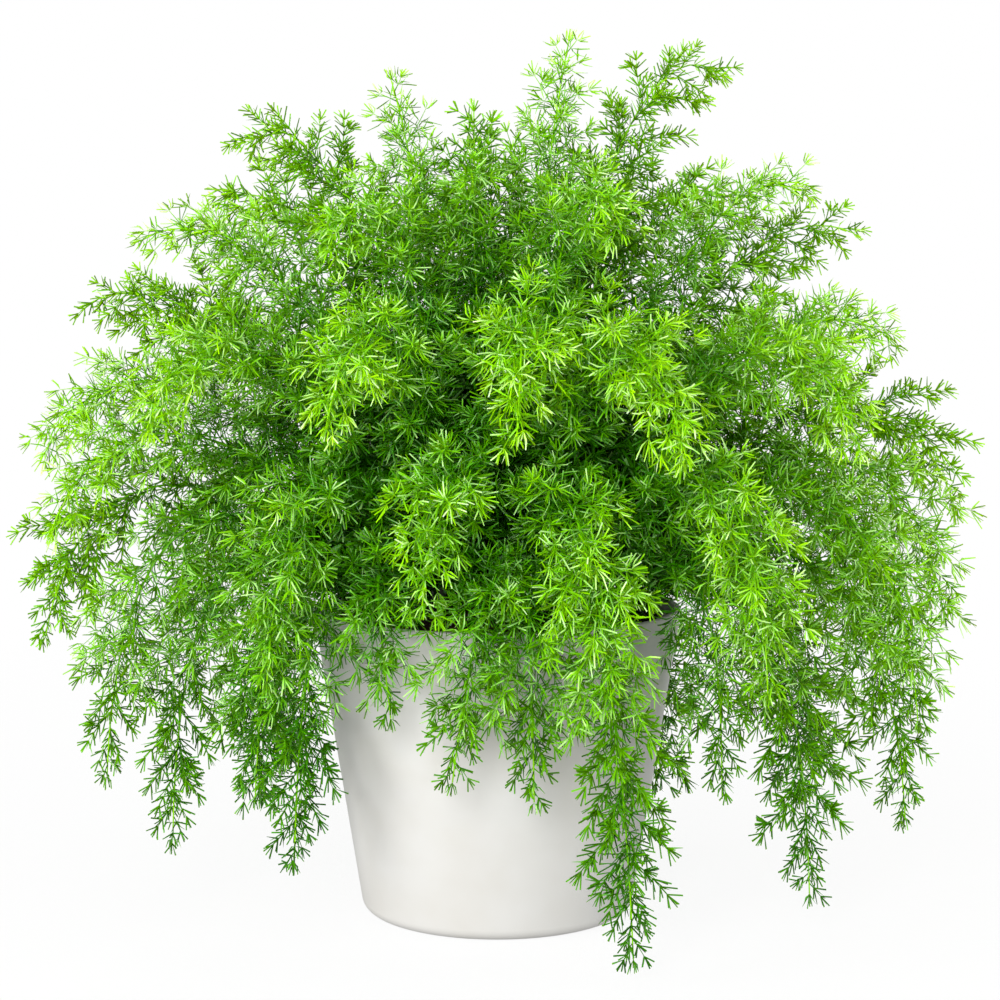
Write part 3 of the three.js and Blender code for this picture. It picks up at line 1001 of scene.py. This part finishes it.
@dataclass
class Sprig:
    """One leafy side branch, grown along +Z from its root: a twig with whorls of needles.

    A long one carries shorter twigs of its own. Millimetres. Leans are in degrees, and turns
    in radians.
    """

    length: float
    habit: Habit
    twigs: dict[int, Shape]
    rng: Rng
    bow: Pair = (0.08, 0.07)
    bare: float = 5
    twig_radius: float = 0.5
    twig_taper: float = 0.5
    twig_step: float = 12
    crowding: float = 0.9
    jitter: float = 0.14
    spin: float = 1.5
    tuft_share: float = 0.62
    tuft_lean: float = 38
    ahead_share: float = 0.7
    ahead_lean: float = 5
    tip_shrink: float = 0.25
    old_within: float = 0.3
    youth_and_light_at_root: float = 0.25
    fork_from: float = 30
    fork_foot: float = 10
    fork_end: float = 14
    fork_step: float = 14
    fork_jitter: float = 2
    fork_share: float = 0.55
    fork_shortest: float = 12
    fork_needles: float = 0.92
    fork_lean: Pair = (48, 6)
    fork_youth: float = 0.8
    growth: Growth = field(default_factory=Growth)

    def __post_init__(self) -> None:
        """Draws how far the twig bows, as a share of its length."""
        self.bowed = self.rng.normal(*self.bow)

    def centre(self, along: float | Array) -> Array:
        """Finds points of the twig's bowed centre line.

        Args:
            along: Their distances from its root.

        Returns:
            A row of x, y and z for each.
        """
        share = np.asarray(along) / self.length
        bow = self.bowed * self.length * share**2
        return np.stack([bow, 0 * share, np.asarray(along) * 1.0], -1)

    def leader(self, along: float) -> Array:
        """Returns the twig's direction at a distance from its root."""
        return self.centre(along + 0.5) - self.centre(along - 0.5)

    def grow(self) -> tuple[Array, ...]:
        """Grows the twig, its whorls and its forks.

        Returns:
            Points, faces, finish, shade, and youth from 0 at the root to 1, lower at the root
            partly as painted shade.
        """
        core = self.length - self.tuft_share * self.habit.needle_length
        twig = self.twigs[max(1, min(len(self.twigs), round(self.length / self.twig_step)))]
        taper = 1 - self.twig_taper * twig.points[:, 2:3]
        across = twig.points[:, :2] * self.twig_radius * taper
        rod = np.concatenate([across, 0 * taper], 1) + self.centre(twig.points[:, 2] * core)
        self.growth.add(rod, twig.faces, Finish.STEM.value, STEM_SHADE, twig.points[:, 2])
        count = max(1, round((core - self.bare) / self.habit.whorl_step))
        turn = self.rng.uniform(0, RANDOM_TURN)
        for index in range(count + 1):
            along = min(self.bare + (core - self.bare) * (index / count) ** self.crowding, core)
            turn += GOLDEN_ANGLE
            self.add_whorl(along, along / core, turn, index == count)
        if self.length >= self.fork_from:
            self.add_forks()
        return self.growth.gathered()

    def add_forks(self) -> None:
        """Sets shorter twigs on the twig, turned by the golden angle each."""
        habit = replace(self.habit, needle_length=self.fork_needles * self.habit.needle_length)
        turn = self.rng.uniform(0, RANDOM_TURN)
        for index in range(int((self.length - self.fork_end) / self.fork_step)):
            jitter = self.rng.uniform(-self.fork_jitter, self.fork_jitter)
            along = self.fork_foot + index * self.fork_step + jitter
            length = (self.length - along) * self.fork_share * self.rng.uniform(*GROWN_SIZES)
            turn += GOLDEN_ANGLE
            fork = Sprig(
                max(self.fork_shortest, length), habit, self.twigs, self.rng, fork_from=math.inf
            )
            points, faces, finish, shade, youth_and_light = fork.grow()
            leader = self.leader(along)
            lean = math.radians(self.rng.normal(*self.fork_lean))
            way = turned(leader, turn) @ leaning(lean)
            laid = points @ turned(way, 0.0, leader).T + self.centre(along)
            share = along / self.length
            young = share + (1 - share) * self.fork_youth * youth_and_light
            self.growth.add(laid, faces, finish, shade, young)

    def add_whorl(self, along: float, share: float, turn: float, last: bool) -> None:
        """Sets a ring of needles on the twig.

        Args:
            along: The ring's distance from the root.
            share: The same, from 0 at the root to 1 at the twig's end.
            turn: The ring's turn about the twig, in radians.
            last: Whether this is the tuft at the end, which also has a needle straight ahead.
        """
        length = self.habit.needle_length
        count = int(self.rng.integers(*self.habit.whorl_needles))
        mean = self.tuft_lean if last else self.habit.lean
        for roll, lean, size in ring(self.rng, count, turn, self.jitter, mean):
            size *= length * (1 - self.tip_shrink * share**2)
            self.add_needle(along, roll, lean, size, share)
        if last:
            ahead = math.radians(self.ahead_lean)
            self.add_needle(along, turn, ahead, length * self.ahead_share, 1.0)

    def add_needle(self, along: float, roll: float, lean: float, size: float, share: float) -> None:
        """Sets one needle.

        Args:
            along: Its distance from the twig's root.
            roll: Its turn about the twig, in radians.
            lean: Its angle from the twig, in radians.
            size: Its length.
            share: Its place along the twig, from 0 to 1.
        """
        leader = self.leader(along)
        way = turned(leader, roll) @ leaning(lean)
        axes = turned(way, self.rng.normal(0, self.spin), leader)
        old, *young = self.habit.needles
        needle = old if share < self.old_within else young[int(self.rng.integers(len(young)))]
        points = needle.drawn_out(size) @ axes.T + self.centre(along)
        shade = needle.shade(self.rng.uniform(0, self.habit.palest))
        # Lower near the twig's root: partly age, partly painted shade deep in the sprig.
        youth_and_light = self.youth_and_light_at_root + (1 - self.youth_and_light_at_root) * share
        self.growth.add(points, needle.faces, Finish.NEEDLE.value, shade, youth_and_light)


def rising(length: float, start: float, run: float, most: float) -> float:
    """Returns a factor that rises with a length, by 1 over a run, up to a most."""
    return min(start + length / run, most)


@dataclass
class SprigBox:
    """A stock of sprigs of several lengths, from which copies are taken. Millimetres."""

    habit: Habit
    seed: int
    few: tuple[int, int] = (5, 6)
    few_below: float = 40
    shortest: float = 14
    longest: float = 82
    step: float = 4
    variants: int = 4
    twig_kinds: int = 6
    needle_growth: Triple = (0.62, 100, 1.05)
    whorl_growth: Triple = (0.6, 150, 1)

    def __post_init__(self) -> None:
        """Grows every sprig of the stock, with shorter and fewer needles on the short ones."""
        rng = np.random.default_rng(self.seed)
        kinds = range(1, self.twig_kinds + 1)
        twigs = {steps: model_rod(sides=3, steps=steps) for steps in kinds}
        self.stock = []
        for length in np.arange(self.shortest, self.longest + 0.1, self.step):
            habit = replace(
                self.habit,
                needle_length=self.habit.needle_length * rising(length, *self.needle_growth),
                whorl_step=self.habit.whorl_step * rising(length, *self.whorl_growth),
                whorl_needles=self.few if length < self.few_below else self.habit.whorl_needles,
            )
            variants = range(self.variants)
            self.stock.append([Sprig(length, habit, twigs, rng).grow() for _ in variants])

    def take(self, length: float, rng: Rng) -> tuple[Array, ...]:
        """Returns a sprig near a length: points, faces, finish, shade and youth."""
        index = int(np.clip(round((length - self.shortest) / self.step), 0, len(self.stock) - 1))
        return self.stock[index][int(rng.integers(self.variants))]


def grow_boxes() -> dict[Stand, SprigBox]:
    """Grows the stocks of sprigs: fine needles outside, wider ones where they close the plant.

    Returns:
        The stock for each stand.
    """
    fine = model_straight_needle(0.95, 0.85)
    bowed = (model_bowed_needle(0.92, 1.8), model_bowed_needle(0.92, 0.9))
    wedge, blunt = model_straight_needle(1.2, 1.05), model_blunt_needle(0.95)
    wide, widest = model_straight_needle(1.5, 1.25), model_straight_needle(2.2, 2.0)
    outer = Habit((fine, *bowed), 15.5, 12.5, (7, 9), lean=64)
    # Rear sprigs are capped a little darker, and hanging ones darker still: painted shade on the
    # low skirt.
    rear = Habit((wide, wide), 14.5, 12.0, (5, 8), palest=0.88)
    hanging = Habit((wedge, wedge, blunt), 12.0, 7.4, (6, 8), lean=48, palest=0.56)
    inner = Habit((widest, widest), 15.5, 14.0, (6, 8))
    return {
        Stand.OUTER: SprigBox(outer, seed=5, few=(6, 8)),
        Stand.REAR: SprigBox(rear, seed=7),
        Stand.HANGING: SprigBox(hanging, seed=8),
        Stand.INNER: SprigBox(inner, seed=6),
    }


@dataclass(frozen=True)
class Crown:
    """The plant's whole leafy volume: a dome over a skirt. Millimetres."""

    middle: float = 260
    radius: float = 305
    front_depth: float = 0.74
    back_depth: float = 0.95
    rise: float = 345
    skirt_taper: float = 0.35
    shaded_within: float = 0.2
    lit_beyond: float = 0.94
    dim_below: float = 280
    dimmest: float = 0.3

    def openness(self, points: Array) -> Array:
        """Tells how far out points are.

        Args:
            points: A row of x, y and z for each.

        Returns:
            For each, 0 deep inside the plant and up to 1 at its outside.
        """
        depth = np.where(points[:, 1] < 0, self.front_depth, self.back_depth)
        reach = np.hypot(points[:, 0], points[:, 1] / depth)
        height = points[:, 2]
        dome = np.hypot(reach / self.radius, (height - self.middle) / self.rise)
        skirt = reach / (self.radius - self.skirt_taper * (self.middle - height))
        share = np.where(height > self.middle, dome, skirt)
        return np.clip((share - self.shaded_within) / (self.lit_beyond - self.shaded_within), 0, 1)

    def exposure(self, points: Array) -> Array:
        """Returns how much light points get: less inside the plant and low down."""
        fall = np.clip(points[:, 2] / self.dim_below, 0, 1)
        return self.openness(points) * (self.dimmest + (1 - self.dimmest) * fall)


@dataclass
class Frond:
    """One frond: an arching stem, sprigs all round it and needles between them.

    Millimetres. The leans of sprigs and whorls are in degrees, all other angles in radians.
    """

    row: tuple[float, ...]
    index: int
    boxes: dict[Stand, SprigBox]
    crown: Crown
    pot: Pot
    seed: int = 100
    rear_from: float = 106
    hanging_below: float = 180
    plume_behind: float = -5
    inner_below: float = 0.298
    inner_longer: float = 1.3
    rear_longer: float = 1.28
    hanging_shorter: float = 0.8
    lift_place: float = 0.22
    arch_place: Pair = (0.66, 0.97)
    arch_drop: float = 900
    sample_step: float = 8
    first_side: float = 0.3
    clearance: float = 1
    ground_clearance: float = 1.5
    sunk: float = 13
    base_radius: float = 1.25
    tip_radius: float = 0.45
    bare_share: float = 0.06
    youth_and_light_at_root: float = 0.4
    sprig_step: float = 7.2
    sprig_closer: float = 1.2
    sprig_longest: float = 60
    sprig_at_tip: float = 14
    sprig_slope: float = 0.46
    sprig_sizes: Pair = (0.75, 1.06)
    sprig_lean: float = 54
    sprig_lean_lost: float = 8
    foot_length: float = 0.55
    foot_share: float = 0.4
    droop: float = 0.15
    attempts: int = 6
    attempt_turn: float = 1.05
    foot_points: int = 6
    needle_length: float = 12
    needle_growth: Triple = (0.7, 200, 1)
    stem_short: float = 0.6
    tuft_short: float = 0.65
    whorl_step: float = 10.5
    whorl: tuple[int, float] = (4, 55)
    tuft: tuple[int, float] = (6, 30)
    jitter: float = 0.2
    ahead_lean: float = 0.03
    ahead_length: float = 8.5
    growth: Growth = field(default_factory=Growth)

    def __post_init__(self) -> None:
        """Draws the centre line and the turning frame along it."""
        self.rng = np.random.default_rng(self.seed + self.index)
        self.is_rear = abs(self.row[0]) > self.rear_from
        fine = self.curve(np.linspace(0, 1, num=400))
        lengths = np.concatenate([[0], np.cumsum(np.linalg.norm(np.diff(fine, axis=0), axis=1))])
        self.length = lengths[-1]
        self.stations = np.linspace(0, self.length, int(self.length / self.sample_step) + 1)
        self.line = np.stack([np.interp(self.stations, lengths, row) for row in fine.T], -1)
        self.tangents = np.gradient(self.line, axis=0)
        self.tangents /= np.linalg.norm(self.tangents, axis=1)[:, None]
        side = np.array([math.cos(self.first_side), math.sin(self.first_side), 0])
        sides = []
        for tangent in self.tangents:
            side = side - tangent * side.dot(tangent)
            side = side / np.linalg.norm(side)
            sides.append(side)
        self.sides = np.array(sides)

    def curve(self, t: Array) -> Array:
        """Finds points of the centre line.

        Args:
            t: Their places, from 0 at the soil to 1 at the tip.

        Returns:
            A row of x, y and z for each.
        """
        bearing, root, lift, arch, reach, tip, swing = self.row
        span = reach - root
        least, most = self.arch_place
        hold = min(max(least + (arch - tip) / self.arch_drop, least), most)
        corners = np.array(
            [[root, STEM_BASE], [root + self.lift_place * span, lift],
             [root + hold * span, arch], [reach, tip]]
        )
        t = t[:, None]
        side = (
            (1 - t) ** 3 * corners[0] + 3 * (1 - t) ** 2 * t * corners[1]
            + 3 * (1 - t) * t**2 * corners[2] + t**3 * corners[3]
        )
        sway = STEM_SWAY * math.sin(GOLDEN_ANGLE * self.index) * np.sin(math.pi * t[:, 0])
        angle = np.radians(bearing + swing * (t[:, 0] - 1) + sway)
        return np.stack([side[:, 0] * np.sin(angle), -side[:, 0] * np.cos(angle), side[:, 1]], -1)

    def at(self, along: float) -> tuple[Array, Array, Array]:
        """Returns the point, direction and side at a distance along the stem."""
        point, tangent, side = (
            np.array([np.interp(along, self.stations, row) for row in rows.T])
            for rows in (self.line, self.tangents, self.sides)
        )
        return point, tangent / np.linalg.norm(tangent), side

    def youth_and_light(self, points: Array, youth_and_light: Array | float) -> Array:
        """Returns how young and lit growth is, by its place and its youth along its sprig."""
        return self.crown.exposure(points) * (self.youth_and_light_at_root + (1 - self.youth_and_light_at_root) * youth_and_light)

    def is_clear(self, points: Array) -> bool:
        """Tells whether points stay out of the pot and the soil, and above the ground.

        Args:
            points: A row of x, y and z for each.

        Returns:
            True when all of them do.
        """
        reach, height, gap = np.hypot(*points.T[:2]), points[:, 2], self.clearance
        inside = reach < self.pot.inner_radius(self.pot.height) - gap
        beside = (reach < self.pot.outer_radius(height) + gap) & ~inside
        in_wall = (height < self.pot.height + gap) & beside
        in_soil = (height < STEM_BASE + gap) & inside
        return not (in_wall | in_soil | (height < self.ground_clearance)).any()

    def add_stem(self) -> None:
        """Lays the stem along its line: a modelled rod, bent station by station."""
        count = int(sum(self.stations < self.length - self.stem_short * self.needle_length))
        rod = model_rod(sides=5, steps=count)
        step = np.round(rod.points[:, 2] * count).astype(int)
        foot = self.line[0] - np.array([0, 0, self.sunk])
        centre = np.concatenate([[foot], self.line[:count]])
        sides = np.concatenate([self.sides[:1], self.sides])
        tangents = np.concatenate([[[0, 0, 1.0]], self.tangents])
        share = np.clip((step - 1) / count, 0, 1)
        radius = self.base_radius + (self.tip_radius - self.base_radius) * share
        other = np.cross(tangents[step], sides[step])
        points = (
            centre[step]
            + sides[step] * (rod.points[:, 0] * radius)[:, None]
            + other * (rod.points[:, 1] * radius)[:, None]
        )
        self.growth.add(points * MM, rod.faces, Finish.STEM.value, STEM_SHADE, share)

    def sprig_reach(self, along: float) -> float:
        """Tells how long a sprig is: longer away from the tip, and shorter again at the foot.

        Args:
            along: Its distance along the stem.

        Returns:
            Its length.
        """
        from_tip = self.sprig_at_tip + self.sprig_slope * (self.length - along)
        from_foot = min(along / (self.foot_share * self.length), 1)
        foot = self.foot_length + (1 - self.foot_length) * from_foot
        return min(from_tip, self.sprig_longest) * foot

    def add_sprigs(self) -> None:
        """Sets sprigs round the stem by the golden angle, longest past its foot."""
        bare = self.length * self.bare_share
        end = self.length - self.needle_length
        facing = math.cos(math.radians(self.row[0]))
        count = int((end - bare) / (self.sprig_step - self.sprig_closer * facing))
        turn = self.rng.uniform(0, RANDOM_TURN)
        for index in range(count):
            share = (index + 0.5) / count
            along = bare + (end - bare) * share
            length = self.sprig_reach(along) * self.rng.uniform(*self.sprig_sizes)
            turn += GOLDEN_ANGLE
            lean = self.rng.normal(self.sprig_lean - self.sprig_lean_lost * share, LEAN_SPREAD)
            self.place_sprig(along, turn, length, math.radians(lean))

    def choose_stand(self, root: Array, middle: Array) -> tuple[Stand, float]:
        """Chooses the kind of sprig for a place.

        Args:
            root: Where the sprig springs from.
            middle: Where its middle comes to lie.

        Returns:
            The kind, and how many times as long it grows there.
        """
        if self.crown.openness(middle[None])[0] < self.inner_below:
            return Stand.INNER, self.inner_longer
        if self.is_rear:
            return Stand.REAR, self.rear_longer
        if root[2] < self.hanging_below:
            return Stand.HANGING, self.hanging_shorter
        return (Stand.HANGING if root[1] > self.plume_behind else Stand.OUTER), 1

    def place_sprig(self, along: float, turn: float, length: float, lean: float) -> None:
        """Sets one sprig, turned a little further where it would meet the pot or the ground.

        Args:
            along: Its distance along the stem.
            turn: Its turn about the stem, in radians.
            length: Its length.
            lean: Its angle from the stem, in radians.
        """
        root, tangent, side = self.at(along)
        stand, longer = self.choose_stand(root, root + 0.5 * length * tangent)
        length *= longer
        for attempt in range(self.attempts):
            points, faces, finish, shade, youth_and_light = self.boxes[stand].take(length, self.rng)
            way = turned(tangent, turn + attempt * self.attempt_turn, side) @ leaning(lean)
            laid = points @ turned(way, 0.0, tangent).T
            laid[:, 2] -= self.droop * length * np.clip(points[:, 2] / length, 0, 1) ** 2
            laid = laid + root
            if self.is_clear(laid[self.foot_points :]):
                self.growth.add(laid * MM, faces, finish, shade, self.youth_and_light(laid, youth_and_light))
                return

    def add_needles(self) -> None:
        """Sets whorls of needles on the stem itself, and a tuft at its tip."""
        bare = self.length * self.bare_share
        end = self.length - self.tuft_short * self.needle_length
        steps = int((end - bare) / self.whorl_step)
        for index in range(steps + 1):
            along = bare + (end - bare) * index / steps
            longest = self.needle_length * rising(self.length - along, *self.needle_growth)
            count, mean = self.tuft if index == steps else self.whorl
            turn = (index + 1) * GOLDEN_ANGLE
            for roll, lean, size in ring(self.rng, count, turn, self.jitter, mean):
                self.place_needle(along, roll, lean, longest * size)
        self.place_needle(end, 0, self.ahead_lean, self.ahead_length)

    def place_needle(self, along: float, roll: float, lean: float, size: float) -> None:
        """Sets one needle on the stem, if the pot leaves it room.

        Args:
            along: Its distance along the stem.
            roll: Its turn about the stem, in radians.
            lean: Its angle from the stem, in radians.
            size: Its length.
        """
        root, tangent, side = self.at(along)
        way = turned(tangent, roll, side) @ leaning(lean)
        kinds = self.boxes[Stand.REAR if self.is_rear else Stand.OUTER].habit.needles
        shape = kinds[int(self.rng.integers(len(kinds)))]
        points = shape.drawn_out(size) @ turned(way, 0, tangent).T + root
        if self.is_clear(points):
            shade = shape.shade(self.rng.uniform(0, 1))
            youth_and_light = self.youth_and_light(points, along / self.length)
            self.growth.add(points * MM, shape.faces, Finish.NEEDLE.value, shade, youth_and_light)

    def build(self) -> Object:
        """Models the frond.

        Returns:
            The piece.
        """
        self.add_stem()
        self.add_sprigs()
        self.add_needles()
        return self.growth.piece(f"frond_{self.index + 1:02d}_leafy")


# ---- Studio ----


@dataclass(frozen=True)
class Lamp:
    """A soft square light that faces a point on the plant's axis. Metres and watts."""

    name: str
    place: Triple
    size: float
    power: float
    aim_height: float

    def add(self) -> None:
        """Adds the light."""
        light = bpy.data.lights.new(self.name, "AREA")
        light.size = self.size
        light.energy = self.power
        obj = bpy.data.objects.new(self.name, light)
        obj.location = self.place
        direction = Vector((0, 0, self.aim_height)) - Vector(self.place)
        obj.rotation_euler = direction.to_track_quat("-Z", "Y").to_euler()
        bpy.context.scene.collection.objects.link(obj)


@dataclass
class Studio:
    """Pale floor in an even white room, soft lights and the camera. Metres."""

    eye: Triple = (0.0018, -1.6, 0.437)
    pitch: float = 5.6
    lens: float = 85.5
    sensor: float = 36
    floor_size: float = 12
    floor_solid: float = 0.2
    floor_gone: float = 1.4
    floor_strength: float = 0.12
    room_light: float = 0.53
    lamps: tuple[Lamp, ...] = (
        Lamp("key", (-2.3, -1.4, 0.7), 1.4, 46, 0.12),
        Lamp("front", (-0.6, -2.9, 1.25), 1.2, 83, 0.38),
        Lamp("fill", (2.4, -1.2, 0.9), 1.6, 22, 0.25),
        Lamp("back", (1.3, 2.4, 0.5), 1.2, 36, 0.05),
    )

    def build(self) -> None:
        """Sets up the whole studio."""
        self.add_floor()
        self.add_camera()
        self.add_world()
        for lamp in self.lamps:
            lamp.add()

    def add_floor(self) -> None:
        """Adds the floor, which thins out into the white of the room far from the object."""
        start_clean()
        bpy.ops.mesh.primitive_plane_add(size=self.floor_size)
        floor = bpy.context.object
        floor.name = "studio_floor"
        material, tree = new_tree("white_studio_paper")
        place = add_node(tree, "ShaderNodeTexCoord").outputs["Object"]
        reach = add_node(tree, "ShaderNodeVectorMath", {".operation": "LENGTH"}, {0: place})
        solid = stretch(
            tree, reach.outputs["Value"], (self.floor_solid, self.floor_gone),
            (self.floor_strength, 0),
        )
        settings = {"Base Color": linear("f6f6f5"), "Roughness": 0.9, "Specular IOR Level": 0.1}
        close_tree(tree, settings, {"Alpha": solid})
        floor.data.materials.append(material)

    def add_camera(self) -> None:
        """Adds the camera at the fitted eye point."""
        camera = bpy.data.cameras.new("camera")
        camera.lens = self.lens
        camera.sensor_width = self.sensor
        obj = bpy.data.objects.new("camera", camera)
        obj.location = self.eye
        obj.rotation_euler = (math.radians(90 - self.pitch), 0, 0)
        bpy.context.scene.collection.objects.link(obj)
        bpy.context.scene.camera = obj

    def add_world(self) -> None:
        """Makes the room's light even, and the room white where the camera sees it."""
        world = bpy.data.worlds.new("studio_world")
        world.use_nodes = True
        tree = world.node_tree
        seen = add_node(tree, "ShaderNodeLightPath").outputs["Is Camera Ray"]
        background = tree.nodes["Background"]
        background.inputs["Color"].default_value = (1, 1, 1, 1)
        strength = stretch(tree, seen, (0, 1), (self.room_light, 1))
        tree.links.new(strength, background.inputs["Strength"])
        bpy.context.scene.world = world
        bpy.context.scene.view_settings.view_transform = "Standard"


def main() -> None:
    """Builds the studio, the pot, the soil and every frond in turn."""
    logging.basicConfig(level=logging.INFO, format="%(message)s")
    Studio().build()
    pot = Pot()
    dress(pot.build(), "pot", "pot", SatinGlaze().material())
    dress(Soil(pot).build(), "soil", "soil", PottingMix().material())
    needles, stems = GreenNeedles().material(), GreenStem().material()
    boxes = grow_boxes()
    for index, row in enumerate(FRONDS):
        piece = Frond(row, index, boxes, Crown(), pot).build()
        dress(piece, "foliage", f"frond_{index + 1:02d}", needles, stems)


if __name__ == "__main__":
    main()
